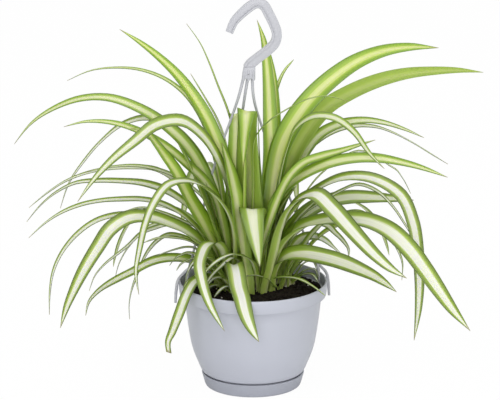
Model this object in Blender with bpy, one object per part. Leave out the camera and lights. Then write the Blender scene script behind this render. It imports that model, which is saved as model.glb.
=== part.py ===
"""Potted spider plant: a striped Chlorophytum in a round plastic hanging pot with a clip-on
saucer and a three-strand hook.  Units are metres, +Z is up, and the origin is the middle of the
saucer's underside.  The plant's widest fan lies along X, and its front faces -Y."""

import math
import random

import bmesh
import bpy
import numpy as np
from mathutils import Vector
from mathutils.bvhtree import BVHTree

MM = 0.001

# Pot and saucer, in millimetres.
RIM_R = 75.0            # outer radius of the rim, a "15 cm" pot
RIM_TOP = 109.0         # height of the rim above the table
BAND_H = 14.0           # height of the plain band around the rim
WALL = 2.0              # moulded wall thickness
FOOT_Z = 2.3            # underside of the pot, just above the saucer's floor
SAUCER_R = 46.0         # radius of the flat the whole object stands on
SAUCER_H = 14.0         # height of the saucer's lip
ROUND_STEPS = 48        # facets around pot, saucer and soil

# Soil and the three crowns that the leaves grow from.
SOIL_TOP = 98.5
SOIL_GAP = 0.4          # air left between soil and pot so that the solids never touch
MAIN_CROWN = (13.0, 6.0)
LEFT_CROWN = (-22.0, 8.0)
RIGHT_CROWN = (33.0, 20.0)
CROWN_R = 9.0
CROWN_H = 3.6

# Hanger: a flat strap hook on a ribbed hub, and three round strands that clip over the rim.
STRAP_W = 8.6
STRAP_TIP_W = 6.2
STRAP_T = 4.6
HUB_BOTTOM = 318.0
HUB_X = -4.5
HUB_W = 13.5
STRAND_D = 2.8
CLIP_DROP = 21.0        # how far the outer clip leg reaches down outside the rim

# Leaves: a blade is a thin folded strip, widest a third of the way out.
BLADE_T = 0.7           # thickness at the midrib
STATIONS = 13           # cross-sections along a blade
FOLD_BASE = 50.0        # how far each half of the blade is folded up at its base, in degrees
FOLD_OUT = 15.0         # the same further out
CLEAR = 0.45            # air kept between one leaf and everything around it
BASE_Z = 105.5          # height at which the blades leave the crown
LAY_ASIDE = Vector((0.0, 0.96, -0.28))  # a leaf in another's way is laid back and a little down
TRIES = 1500            # placings tried for each leaf, each looser than the one before
MOST_ASIDE = (24.0, 45.0, 60.0)  # furthest it is laid aside low down, midway and at the tip
MOST_SWING = 100.0      # furthest its seat turns round the crown, in degrees
MOST_SHIFT = 12.0       # furthest its seat moves out from the crown
MOST_NUDGE = 8.0        # furthest its lowest stretch moves left or right


# ---------------------------------------------------------------- materials and objects

def material(name, colour, roughness):
    made = bpy.data.materials.new(name)
    made.use_nodes = True
    surface = made.node_tree.nodes["Principled BSDF"]
    surface.inputs["Base Color"].default_value = (*colour, 1.0)
    surface.inputs["Roughness"].default_value = roughness
    surface.inputs["Metallic"].default_value = 0.0
    return made


def add_object(name, mesh, finish, smooth=40.0):
    mesh.materials.append(finish)
    mesh.shade_smooth()
    mesh.set_sharp_from_angle(angle=math.radians(smooth))
    made = bpy.data.objects.new(name, mesh)
    bpy.context.scene.collection.objects.link(made)
    return made


def as_cutter(obj):
    obj.hide_render = True
    obj.display_type = "WIRE"
    return obj


def boolean(target, tool, operation):
    cut = target.modifiers.new(operation.lower(), "BOOLEAN")
    cut.operation = operation
    cut.object = tool
    cut.solver = "EXACT"


# ---------------------------------------------------------------- turned pieces

def turned_mesh(name, profile, steps=ROUND_STEPS, centre=(0.0, 0.0)):
    """A closed solid of revolution from (radius, height) points that start and end on the axis."""
    bm = bmesh.new()
    points = [bm.verts.new((r * MM, 0.0, z * MM)) for r, z in profile]
    edges = [bm.edges.new(pair) for pair in zip(points, points[1:])]
    bmesh.ops.spin(bm, geom=points + edges, cent=(0, 0, 0), axis=(0, 0, 1),
                   angle=math.tau, steps=steps, use_merge=True)
    bmesh.ops.remove_doubles(bm, verts=bm.verts, dist=1e-6)
    bmesh.ops.translate(bm, verts=bm.verts, vec=(centre[0] * MM, centre[1] * MM, 0.0))
    bmesh.ops.recalc_face_normals(bm, faces=bm.faces)
    mesh = bpy.data.meshes.new(name)
    bm.to_mesh(mesh)
    bm.free()
    return mesh


def body_outline():
    """Outer outline of the pot's cup from its lower edge to just under the rim band."""
    return [(51.2, 15.7), (51.9, 16.4), (53.4, 19.5), (56.3, 26.5), (60.0, 36.0), (62.9, 47.0),
            (65.2, 61.0), (67.0, 75.0), (69.0, RIM_TOP - BAND_H - 0.8)]


def inner_outline():
    """Inner outline, one wall thickness inside the outer one, from the floor to the band."""
    cup = [(r - WALL, z + 0.6) for r, z in body_outline()[2:]]
    return [(43.2, FOOT_Z + 2.2), (45.0, 15.0), (48.6, 17.6)] + cup


def build_pot(finish):
    band_z = RIM_TOP - BAND_H
    foot = [(0.0, FOOT_Z), (44.2, FOOT_Z), (45.6, FOOT_Z + 1.2), (47.0, 14.6)]
    rim = [(73.4, band_z), (74.2, band_z + 0.8), (RIM_R, RIM_TOP - 1.4), (RIM_R - 0.5, RIM_TOP - 0.4),
           (RIM_R - 1.2, RIM_TOP), (RIM_R - 1.9, RIM_TOP - 0.4), (RIM_R - 2.4, RIM_TOP - 1.4),
           (71.8, band_z + 3.0)]
    inside = list(reversed(inner_outline()))
    profile = foot + body_outline() + rim + inside + [(0.0, FOOT_Z + 2.2)]
    pot = add_object("pot", turned_mesh("pot", profile), finish)
    drains = bmesh.new()
    for quarter in range(4):
        turn = math.tau * (quarter + 0.5) / 4
        made = bmesh.ops.create_cone(drains, cap_ends=True, segments=12, radius1=3.5 * MM,
                                     radius2=3.5 * MM, depth=8 * MM)
        place = (26 * MM * math.cos(turn), 26 * MM * math.sin(turn), (FOOT_Z + 1.0) * MM)
        bmesh.ops.translate(drains, verts=made["verts"], vec=place)
    mesh = bpy.data.meshes.new("drain_holes")
    drains.to_mesh(mesh)
    drains.free()
    boolean(pot, as_cutter(add_object("drain_holes", mesh, finish)), "DIFFERENCE")
    return pot


def build_saucer(finish):
    profile = [(0.0, 0.0), (SAUCER_R, 0.0), (47.9, 0.9), (48.9, 3.0), (51.7, SAUCER_H - 1.0),
               (51.7, SAUCER_H - 0.3), (51.2, SAUCER_H), (50.2, SAUCER_H), (49.8, SAUCER_H - 0.8),
               (47.2, 4.0), (46.2, 2.0), (0.0, 2.0)]
    return add_object("saucer", turned_mesh("saucer", profile), finish)


def build_soil(finish):
    wall = [(r - SOIL_GAP, z) for r, z in inner_outline()]
    wall[0] = (wall[0][0], FOOT_Z + 2.2 + SOIL_GAP)
    wall[2] = (wall[2][0], wall[2][1] + SOIL_GAP)
    top = [(63.6, 96.6), (56.0, 97.8), (44.0, SOIL_TOP)]
    profile = [(0.0, FOOT_Z + 2.2 + SOIL_GAP)] + wall + top + [(0.0, SOIL_TOP)]
    return add_object("soil", turned_mesh("soil", profile), finish)


def build_crown(name, centre, finish):
    low = SOIL_TOP + SOIL_GAP
    profile = [(0.0, low), (CROWN_R - 0.8, low), (CROWN_R, low + 1.2), (CROWN_R - 2.0, low + 2.8),
               (CROWN_R - 5.0, low + CROWN_H), (0.0, low + CROWN_H)]
    return add_object(name, turned_mesh(name, profile, steps=12, centre=centre), finish)


# ---------------------------------------------------------------- swept pieces

def smooth_line(points, count):
    """Points spaced evenly along a smooth curve through the given ones."""
    given = np.array(points, dtype=float)
    chord = np.sqrt(np.linalg.norm(np.diff(given, axis=0), axis=1))
    knot = np.concatenate(([0.0], np.cumsum(chord)))
    slope = np.empty_like(given)
    step = np.diff(given, axis=0) / chord[:, None]
    slope[1:-1] = (step[:-1] * chord[1:, None] + step[1:] * chord[:-1, None]) / (
        chord[:-1] + chord[1:])[:, None]
    slope[0] = step[0] * 1.5 - slope[1] * 0.5
    slope[-1] = step[-1] * 1.5 - slope[-2] * 0.5
    fine = []
    for i, width in enumerate(chord):
        for t in np.linspace(0.0, 1.0, 16, endpoint=False):
            fine.append((2 * t**3 - 3 * t**2 + 1) * given[i] + (t**3 - 2 * t**2 + t) * width * slope[i]
                        + (3 * t**2 - 2 * t**3) * given[i + 1] + (t**3 - t**2) * width * slope[i + 1])
    fine = np.array(fine + [given[-1]])
    length = np.concatenate(([0.0], np.cumsum(np.linalg.norm(np.diff(fine, axis=0), axis=1))))
    even = np.linspace(0.0, length[-1], count)
    return np.stack([np.interp(even, length, fine[:, axis]) for axis in range(3)], axis=1)


def tangents(line):
    ahead = np.gradient(line, axis=0)
    return ahead / np.linalg.norm(ahead, axis=1)[:, None]


def loft_data(rings, tip=None):
    """Vertices and faces of a closed sleeve through equal rings, ending in a face or a point."""
    size = len(rings[0])
    verts = [tuple(point) for ring in rings for point in ring]
    faces = [tuple(range(size))]
    for r in range(len(rings) - 1):
        for k in range(size):
            nxt = (k + 1) % size
            faces.append((r * size + k, (r + 1) * size + k, (r + 1) * size + nxt, r * size + nxt))
    last = (len(rings) - 1) * size
    if tip is None:
        faces.append(tuple(last + k for k in reversed(range(size))))
    else:
        verts.append(tuple(tip))
        faces += [(last + k, len(verts) - 1, last + (k + 1) % size) for k in range(size)]
    return verts, faces


def blade_faces(verts, faces):
    """Cuts a blade's faces in two along the same lines above and below, so that the two skins
    stay parallel; every cut runs from a margin (points 0 and 2 of a ring) to the next midrib."""
    cut = []
    for face in faces:
        if len(face) == 3:
            cut.append(face)
        elif face == (0, 1, 2, 3):
            cut += [(0, 1, 3), (1, 2, 3)]
        elif face[0] % 2 == 0:
            cut += [(face[0], face[1], face[2]), (face[0], face[2], face[3])]
        else:
            cut += [(face[0], face[1], face[3]), (face[1], face[2], face[3])]
    return verts, cut


def loft_mesh(name, sleeves):
    """One mesh from several closed sleeves, given in millimetres."""
    bm = bmesh.new()
    for verts, faces in sleeves:
        made = [bm.verts.new([value * MM for value in point]) for point in verts]
        for face in faces:
            bm.faces.new([made[k] for k in face])
    bmesh.ops.recalc_face_normals(bm, faces=bm.faces)
    mesh = bpy.data.meshes.new(name)
    bm.to_mesh(mesh)
    bm.free()
    return mesh


def tube(points, count, diameter, end_diameter=None):
    """A round eight-sided rod along a smooth curve."""
    line = smooth_line(points, count)
    along = tangents(line)
    side = np.cross(along[0], (0.3, 1.0, 0.2))
    rings = []
    for k, (point, ahead) in enumerate(zip(line, along)):
        share = k / (count - 1)
        radius = (diameter + share * ((end_diameter or diameter) - diameter)) / 2
        side = side - ahead * side.dot(ahead)
        side = side / np.linalg.norm(side)
        other = np.cross(ahead, side)
        turns = [math.tau * step / 8 for step in range(8)]
        rings.append([point + radius * (side * math.cos(a) + other * math.sin(a)) for a in turns])
    return loft_data(rings)


def build_hook(finish):
    """Hook and hub: a flat strap in the XZ plane that runs down into a small ribbed block."""
    strap = ((-23, 0, 368), (-18, 0, 378), (-12, 0, 385), (-3, 0, 393), (4.5, 0, 397),
             (11, 0, 394), (16, 0, 384), (21.5, 0, 373), (24, 0, 364), (22.5, 0, 355),
             (16, 0, 348), (6, 0, 340), (-1.5, 0, 333.5))
    line = smooth_line(strap, 30)
    rings = []
    for k, (point, ahead) in enumerate(zip(line, tangents(line))):
        wide = STRAP_TIP_W + (STRAP_W - STRAP_TIP_W) * min(1.0, k / 6)
        across = np.array((ahead[2], 0.0, -ahead[0])) * wide / 2
        deep = np.array((0.0, STRAP_T / 2, 0.0))
        rings.append([point - across - deep, point + across - deep, point + across + deep,
                      point - across + deep])
    hub = []
    for z, wide, deep in ((334, 9.0, 4.6), (330, 12.5, 6.4), (326, HUB_W, 7.4), (HUB_BOTTOM, HUB_W, 7.4)):
        lean = HUB_X + max(0.0, z - 328.0) * 0.35
        hub.append([(lean - wide / 2, -deep / 2, z), (lean + wide / 2, -deep / 2, z),
                    (lean + wide / 2, deep / 2, z), (lean - wide / 2, deep / 2, z)])
    hook = add_object("hanger_hook", loft_mesh("hanger_hook", [loft_data(rings)]), finish)
    block = add_object("hub_block", loft_mesh("hub_block", [loft_data(hub)]), finish)
    boolean(hook, as_cutter(block), "UNION")
    return hook


def strand_routes():
    """Each strand from the hub down to its inner clip leg, and its outer leg over the rim."""
    top = HUB_BOTTOM - 0.4
    left = ((-9.5, 0, top), (-14, 2, 300), (-20, 8, 280), (-38, 17, 226), (-52, 14, 172),
            (-60, 2, 137), (-64, -8, 124), (-67, -14, 102))
    right = ((-0.8, 0, top), (0.3, 3, 300), (6, 14, 274), (23, 34, 223), (41, 35, 175),
             (56, 22, 140), (64, 13, 125), (67.2, 12, 102))
    back = ((-5.2, 0.6, top), (-8, 5, 300), (-12, 20, 266), (-16, 44, 217), (-17.5, 58, 166),
            (-17, 62, 136), (-16.5, 64, 126), (-17, 66.2, 102))
    legs = []
    for route in (left, right, back):
        fork = Vector(route[-2])
        out = Vector((fork.x, fork.y, 0.0)).normalized()
        over = [fork, out * 69.5 + Vector((0, 0, 119.5)), out * 75.5 + Vector((0, 0, 112.0)),
                out * 77.6 + Vector((0, 0, 102.0)), out * 78.6 + Vector((0, 0, RIM_TOP - CLIP_DROP))]
        legs.append([tuple(point) for point in over])
    return (left, right, back), legs


def build_strands(finish):
    """One solid per strand, its outer clip leg joined on where it forks above the rim."""
    made = []
    for name, route, leg in zip(("strand_left", "strand_right", "strand_back"), *strand_routes()):
        strand = add_object(name, loft_mesh(name, [tube(route, 16, STRAND_D, 2.6)]), finish)
        clip = add_object("clip_leg", loft_mesh("clip_leg", [tube(leg, 7, 2.6, 3.2)]), finish)
        boolean(strand, as_cutter(clip), "UNION")
        made.append(strand)
    return made


# ---------------------------------------------------------------- leaves

# One row per leaf: name, crown, widest width, how far its upper face is turned to the front in
# degrees, how late it tapers (high keeps it broad), and the points its midrib passes through.
# Rows are laid in this order, the large arching leaves first.
M, L, R = MAIN_CROWN, LEFT_CROWN, RIGHT_CROWN
LEAVES = (
    # tall leaves in the middle of the fan
    ("leaf_top_1", M, 18, 0, 2.6, ((12, 10, 148), (15, 12, 189), (18, 18, 236), (17, 24, 267),
                                   (16, 30, 296), (13, 36, 331), (9, 42, 355), (4, 47, 367))),
    ("leaf_top_2", L, 17, 45, 2.4, ((-14, 3, 150), (-20, 5, 200), (-31, 8, 237), (-46, 13, 274),
                                    (-73, 20, 314), (-103, 28, 341), (-133, 35, 360))),
    ("leaf_top_3", M, 22, 45, 3.0, ((14, 5, 150), (20, 7, 197), (28, 9, 246), (59, 16, 295),
                                    (111, 27, 333), (150, 35, 341), (186, 43, 339))),
    ("leaf_top_4", M, 20, 36, 2.2, ((19, 10, 149), (25, 14, 194), (38, 20, 229), (69, 36, 275),
                                    (111, 58, 295), (153, 81, 302), (209, 110, 299),
                                    (236, 125, 293))),
    ("leaf_front_fold", M, 22, 0, 2.0, ((8, -8, 145), (2, -14, 176), (-1, -20, 190), (-1, -27, 190),
                                        (1, -33, 176), (4, -37, 156), (7, -39, 134))),
    ("leaf_top_5", M, 20, 0, 2.6, ((3, 2, 150), (-4, 3, 200), (-6, 0, 250), (-6, -4, 280),
                                   (-6, -10, 289), (-7, -16, 280), (-9, -19, 255), (-10, -20, 232))),
    ("leaf_top_6", L, 16, 0, 3.0, ((-17, 10, 150), (-17, 14, 210), (-17, 20, 258), (-18, 31, 274),
                                   (-20, 47, 268), (-22, 60, 247))),
    # one that leans right through the middle of the fan
    ("leaf_right_4", M, 14, 20, 2.2, ((18, 1, 165), (27, -1, 220), (45, -8, 273), (69, -17, 285),
                                      (93, -25, 277), (118, -34, 247), (130, -39, 236))),
    # leaves that arch to the left
    ("leaf_left_1", L, 18, 34, 2.2, ((-16, -1, 140), (-19, -4, 183), (-28, -7, 221), (-42, -10, 251),
                                     (-60, -15, 274), (-81, -21, 282), (-95, -25, 278),
                                     (-113, -30, 265), (-133, -35, 250), (-155, -41, 229),
                                     (-174, -46, 204))),
    ("leaf_left_2", L, 19, 38, 1.1, ((-33, 11, 165), (-45, 14, 207), (-58, 17, 232), (-73, 20, 252),
                                     (-103, 28, 274), (-143, 39, 288), (-183, 50, 282),
                                     (-223, 60, 257), (-242, 65, 233))),
    ("leaf_left_3", L, 24, 34, 1.9, ((-36, 2, 140), (-48, 0, 167), (-63, -2, 194), (-75, -4, 220),
                                     (-86, -6, 238), (-98, -8, 256), (-113, -10, 271),
                                     (-122, -11, 270))),
    ("leaf_left_4", L, 17, 34, 1.2, ((-31, 9, 160), (-42, 10, 201), (-65, 11, 226), (-88, 12, 246),
                                     (-113, 13, 260), (-135, 14, 268), (-153, 15, 270),
                                     (-173, 16, 269), (-189, 17, 264))),
    ("leaf_left_5", L, 15, 18, 2.0, ((-33, 12, 180), (-52, 14, 230), (-75, 18, 259), (-100, 21, 272),
                                     (-125, 24, 268), (-153, 28, 246), (-183, 33, 206),
                                     (-192, 34, 188), (-195, 35, 174))),
    ("leaf_left_6", L, 22, 26, 2.8, ((-40, -3, 130), (-58, -8, 156), (-93, -20, 178),
                                     (-118, -29, 184), (-138, -36, 176), (-156, -42, 153),
                                     (-171, -48, 128), (-185, -53, 98), (-192, -55, 76))),
    ("leaf_left_7", L, 13, 16, 2.2, ((-40, 3, 125), (-62, 1, 155), (-93, -1, 173), (-128, -4, 179),
                                    (-150, -6, 176), (-170, -8, 165), (-188, -10, 146),
                                    (-201, -11, 118), (-205, -12, 76))),
    ("leaf_left_8", L, 13, 16, 2.4, ((-17, -4, 145), (-24, -9, 182), (-36, -17, 201), (-50, -27, 215),
                                    (-66, -38, 224), (-80, -47, 225), (-95, -58, 211),
                                    (-105, -65, 191), (-112, -70, 163), (-116, -73, 133),
                                    (-113, -73, 116))),
    ("leaf_left_9", L, 14, 18, 1.6, ((-38, 12, 150), (-58, 13, 176), (-83, 15, 196), (-113, 17, 206),
                                     (-143, 19, 207), (-173, 21, 206), (-193, 22, 198),
                                     (-215, 23, 180), (-229, 24, 163))),
    ("leaf_left_10", L, 12, 16, 1.6, ((-36, 16, 155), (-58, 20, 183), (-78, 24, 206), (-98, 27, 217),
                                      (-123, 31, 218), (-153, 36, 214), (-183, 41, 204),
                                      (-213, 46, 183), (-226, 48, 171))),
    ("leaf_left_11", L, 12, 16, 1.8, ((-40, 8, 140), (-60, 8, 165), (-78, 8, 180), (-103, 8, 190),
                                      (-138, 8, 191), (-168, 8, 187), (-198, 8, 174),
                                      (-225, 8, 151))),
    ("leaf_left_12", L, 15, 26, 1.2, ((-38, 3, 120), (-58, -3, 129), (-78, -6, 134),
                                      (-100, -9, 132), (-122, -14, 122), (-146, -20, 110),
                                      (-163, -23, 96), (-168, -24, 79))),
    ("leaf_left_13", L, 11, 16, 1.8, ((-42, 10, 135), (-63, 12, 156), (-83, 13, 164), (-98, 14, 160),
                                     (-113, 15, 153), (-130, 16, 137), (-146, 17, 124),
                                     (-160, 18, 108), (-166, 18, 92))),
    ("leaf_left_14", L, 9, 16, 1.8, ((-45, 15, 138), (-75, 19, 160), (-97, 22, 162), (-113, 23, 152),
                                     (-127, 24, 135), (-136, 25, 118), (-140, 25, 103))),
    ("leaf_left_15", L, 9, 14, 1.6, ((-40, 4, 128), (-65, 0, 152), (-88, -4, 157), (-104, -6, 143),
                                     (-113, -8, 127), (-120, -9, 109), (-125, -10, 90),
                                     (-125, -10, 70))),
    ("leaf_left_16", L, 10, 16, 1.2, ((-26, 14, 170), (-38, 18, 230), (-53, 23, 275), (-73, 30, 300),
                                      (-93, 38, 311), (-113, 46, 316), (-133, 54, 316),
                                      (-153, 62, 313), (-173, 70, 306), (-188, 75, 297))),
    ("leaf_left_17", L, 10, 18, 1.6, ((-34, 14, 160), (-52, 19, 192), (-78, 25, 210), (-93, 28, 216),
                                     (-113, 32, 219), (-133, 36, 218), (-153, 40, 214),
                                     (-168, 43, 209))),
    # leaves that arch to the right
    ("leaf_right_5", M, 16, 30, 2.6, ((12, -14, 150), (28, -10, 203), (69, -12, 232),
                                      (111, -15, 241), (153, -19, 236), (194, -23, 223))),
    ("leaf_right_6", M, 12, 36, 2.2, ((15, -8, 152), (30, -3, 207), (48, -7, 232), (83, -16, 247),
                                      (122, -27, 263))),
    ("leaf_right_1", M, 24, 22, 3.0, ((20, -4, 125), (28, -8, 148), (46, -18, 170), (78, -36, 183),
                                     (116, -58, 187), (142, -73, 176), (167, -87, 149),
                                     (193, -102, 114), (213, -114, 92))),
    ("leaf_right_2", M, 22, 20, 3.0, ((19, -6, 130), (25, -11, 159), (37, -21, 193), (50, -33, 206),
                                     (62, -43, 211), (78, -56, 200), (103, -78, 177),
                                     (129, -99, 156), (150, -117, 147))),
    ("leaf_right_3", M, 17, 16, 3.2, ((20, 0, 145), (38, -6, 183), (58, -13, 204), (84, -22, 221),
                                      (116, -33, 225), (148, -45, 208), (160, -49, 174),
                                      (165, -51, 128), (165, -51, 100), (161, -50, 61))),
    ("leaf_right_7", R, 16, 30, 2.2, ((24, 11, 168), (40, 16, 212), (65, 25, 252), (95, 36, 264),
                                      (125, 46, 262), (155, 57, 250), (173, 64, 240))),
    ("leaf_right_8", R, 10, 24, 1.8, ((27, 18, 185), (46, 32, 226), (75, 52, 247), (110, 76, 250),
                                     (146, 102, 234), (188, 131, 202), (202, 141, 191))),
    ("leaf_right_9", M, 22, 34, 2.4, ((23, -6, 122), (30, -11, 136), (46, -21, 143),
                                      (65, -32, 144), (84, -43, 142), (103, -54, 138),
                                      (123, -65, 131), (142, -76, 120))),
    ("leaf_right_10", R, 20, 30, 3.0, ((30, 9, 148), (55, 12, 177), (84, 14, 190), (110, 16, 191),
                                       (140, 18, 189), (162, 20, 187))),
    ("leaf_right_11", M, 8, 16, 2.0, ((30, 2, 150), (52, -2, 180), (79, -7, 199), (103, -11, 212),
                                      (129, -16, 203), (148, -20, 179), (160, -22, 160),
                                      (171, -24, 138))),
    ("leaf_right_12", R, 13, 18, 1.8, ((32, 12, 140), (55, 15, 163), (73, 16, 163), (84, 17, 152),
                                       (93, 18, 142), (97, 18, 133), (96, 18, 126))),
    ("leaf_right_13", R, 13, 26, 2.2, ((33, 16, 128), (48, 20, 146), (60, 22, 149), (72, 24, 144),
                                       (84, 25, 134), (93, 26, 125))),
    ("leaf_top_7", M, 9, 10, 0.9, ((2, -4, 150), (0, -6, 210), (3, -8, 262), (25, -12, 284),
                                   (62, -20, 305), (83, -24, 305), (94, -27, 302))),
    # leaves that hang over the front of the rim, and short ones inside it
    ("leaf_front_1", L, 19, 0, 3.2, ((-17, -12, 118), (-19, -36, 138), (-17, -53, 135),
                                     (-15, -65, 124), (-11, -75, 113), (-7, -81, 98),
                                     (-1, -85, 84), (6, -88, 72))),
    ("leaf_front_2", L, 14, 0, 2.4, ((-27, -6, 128), (-35, -18, 153), (-45, -30, 156),
                                     (-51, -43, 149), (-53, -57, 140), (-50, -66, 127),
                                     (-44, -73, 109), (-34, -77, 90), (-28, -79, 80))),
    ("leaf_front_3", L, 12, 5, 6.0, ((-32, -8, 114), (-48, -26, 120), (-59, -40, 119),
                                     (-66, -49, 109), (-71, -54, 97), (-80, -59, 74),
                                     (-85, -61, 61), (-84, -61, 52))),
    ("leaf_front_4", M, 10, 0, 1.8, ((4, -12, 126), (-4, -20, 138), (-22, -30, 145),
                                     (-42, -40, 136), (-54, -46, 119))),
    ("leaf_front_5", L, 9, 0, 1.8, ((-14, -12, 133), (-22, -24, 139), (-32, -31, 133),
                                    (-42, -37, 124), (-49, -41, 112))),
    # slender leaves of the top and the back
    ("leaf_top_8", L, 10, 20, 2.0, ((-16, 14, 150), (-20, 18, 200), (-26, 24, 240), (-33, 28, 263),
                                    (-43, 32, 281), (-62, 37, 313))),
    ("leaf_top_9", M, 12, 0, 2.2, ((16, 16, 150), (20, 22, 190), (23, 30, 235), (23, 38, 285),
                                   (20, 45, 315), (12, 53, 348))),
    ("leaf_top_10", L, 8, 10, 1.2, ((-12, 22, 150), (-14, 30, 200), (-18, 36, 245), (-24, 43, 270),
                                    (-33, 50, 292), (-43, 57, 317), (-53, 63, 338),
                                    (-66, 70, 355))),
    ("leaf_top_11", M, 7, 0, 1.8, ((-3, -8, 160), (-9, -10, 200), (-8, -12, 240), (-8, -13, 272))),
    ("leaf_back_1", M, 15, 0, 2.6, ((16, 22, 145), (22, 44, 190), (30, 82, 218), (38, 126, 208),
                                    (44, 160, 168), (47, 178, 128))),
    ("leaf_back_2", L, 15, 0, 2.6, ((-26, 22, 145), (-34, 42, 185), (-46, 80, 205),
                                    (-60, 120, 190), (-70, 150, 150), (-75, 164, 112))),
    ("leaf_back_3", M, 14, 0, 2.6, ((6, 26, 140), (2, 56, 178), (-4, 98, 190), (-10, 138, 170),
                                    (-14, 165, 130), (-15, 176, 98))),
)


def blade_widths(widest, taper):
    """Width at each station: narrow where the base wraps the crown, and drawn out to the tip."""
    share = np.linspace(0.0, 1.0, STATIONS)
    spread = np.clip(share / 0.3, 0.0, 1.0)
    base = 0.36 + 0.64 * spread * spread * (3 - 2 * spread)
    return widest * base * (1.0 - share**(taper + 0.4))**0.85


def blade_data(spine, widest, turn, taper, swell):
    """A leaf's sleeve: four points per station (margin, upper midrib, margin, lower midrib)."""
    line = smooth_line(spine, STATIONS)
    along = tangents(line)
    reach = line[:, :2] - line[0, :2]
    far = reach[np.argmax(np.linalg.norm(reach, axis=1))]
    heading = math.atan2(far[1], far[0])
    side = np.array((-math.sin(heading), math.cos(heading), 0.0))
    to_front = math.copysign(math.radians(turn), side[1])
    widths = blade_widths(widest, taper)
    rings = []
    for k in range(STATIONS - 1):
        share = k / (STATIONS - 1)
        left = side - along[k] * side.dot(along[k])
        left = left / np.linalg.norm(left)
        upper = np.cross(along[k], left)
        left, upper = (left * math.cos(to_front) + upper * math.sin(to_front),
                       upper * math.cos(to_front) - left * math.sin(to_front))
        fold = math.radians(FOLD_BASE + (FOLD_OUT - FOLD_BASE) * min(1.0, share / 0.45))
        half = widths[k] / 2 + swell
        out, up = left * half * math.cos(fold), upper * half * math.sin(fold)
        rib = upper * (BLADE_T / 2 + swell)
        rings.append([line[k] + out + up / 2, line[k] + rib - up / 2,
                      line[k] - out + up / 2, line[k] - rib - up / 2])
    tip = line[-1] + along[-1] * swell
    return blade_faces(*loft_data(rings, tip))


def spine_from_crown(crown, points, swing, shift, nudge, asides):
    """The midrib from its seat on the crown, laid aside by so much low down, midway and at the tip."""
    moved = []
    for k, point in enumerate(points):
        share = k / (len(points) - 1)
        moved.append(Vector(point) + LAY_ASIDE * float(np.interp(share, (0.0, 0.4, 1.0), asides)))
    moved[0].x += nudge
    first = moved[0]
    lean = Vector((first.x - crown[0], first.y - crown[1]))
    steep = lean.length / max(1.0, first.z - BASE_Z)
    radius = 2.0 + 11.0 * min(1.0, steep) + shift
    angle = math.atan2(lean.y, lean.x) + math.radians(swing)
    base = Vector((crown[0] + radius * math.cos(angle), crown[1] + radius * math.sin(angle), BASE_Z))
    return [base, base.lerp(first, 0.4) + Vector((0, 0, 4.0))] + moved


def polygons(obj):
    shape = obj.evaluated_get(bpy.context.evaluated_depsgraph_get()).to_mesh()
    verts = [tuple(v.co / MM) for v in shape.vertices]
    faces = [tuple(p.vertices) for p in shape.polygons]
    return verts, faces


def grow_leaves(solids, finish):
    """Lay the leaves one by one, each where it clears the pot, the hanger and earlier leaves."""
    placed_verts, placed_faces = [], []

    def remember(verts, faces):
        start = len(placed_verts)
        placed_verts.extend(verts)
        placed_faces.extend(tuple(start + k for k in face) for face in faces)

    for solid in solids:
        remember(*polygons(solid))
    for name, crown, widest, turn, taper, points in LEAVES:
        taken = BVHTree.FromPolygons(placed_verts, placed_faces)
        chance = random.Random(name)
        best = None
        for attempt in range(TRIES):
            loose = attempt / TRIES
            asides = [chance.uniform(-1, 1) * loose * most for most in MOST_ASIDE]
            swing = chance.uniform(-1, 1) * loose * MOST_SWING
            shift = chance.uniform(-0.2, 1) * loose * MOST_SHIFT
            nudge = chance.uniform(-1, 1) * loose * MOST_NUDGE
            spine = spine_from_crown(crown, points, swing, shift, nudge, asides)
            trial = blade_data(spine, widest, turn, taper, CLEAR)
            hits = len(BVHTree.FromPolygons(*trial).overlap(taken))
            if best is None or hits < best[0]:
                best = (hits, attempt, spine, asides)
            if hits == 0:
                break
        hits, attempt, spine, asides = best
        moved = " ".join(f"{value:+.0f}" for value in asides)
        print(f"{name}: try {attempt}, laid aside {moved} mm, crossings {hits}")
        sleeve = blade_data(spine, widest, turn, taper, 0.0)
        add_object(name, loft_mesh(name, [sleeve]), finish, smooth=80.0)
        remember(*sleeve)


def main():
    for obj in list(bpy.data.objects):
        bpy.data.objects.remove(obj, do_unlink=True)
    pot_plastic = material("pot_plastic", (0.60, 0.62, 0.72), 0.38)
    saucer_plastic = material("saucer_plastic", (0.50, 0.52, 0.61), 0.42)
    hanger_plastic = material("hanger_plastic", (0.55, 0.57, 0.60), 0.35)
    potting_soil = material("potting_soil", (0.020, 0.014, 0.010), 0.95)
    crown_tissue = material("crown_tissue", (0.28, 0.30, 0.10), 0.6)
    leaf_tissue = material("leaf_tissue", (0.24, 0.38, 0.06), 0.45)
    solids = [
        build_pot(pot_plastic),
        build_saucer(saucer_plastic),
        build_soil(potting_soil),
        build_crown("crown_main", MAIN_CROWN, crown_tissue),
        build_crown("crown_left", LEFT_CROWN, crown_tissue),
        build_crown("crown_right", RIGHT_CROWN, crown_tissue),
        build_hook(hanger_plastic),
    ]
    solids += build_strands(hanger_plastic)
    grow_leaves(solids, leaf_tissue)


main()
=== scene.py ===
import math
import random

import bmesh
import bpy
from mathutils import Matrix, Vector, noise


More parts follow.
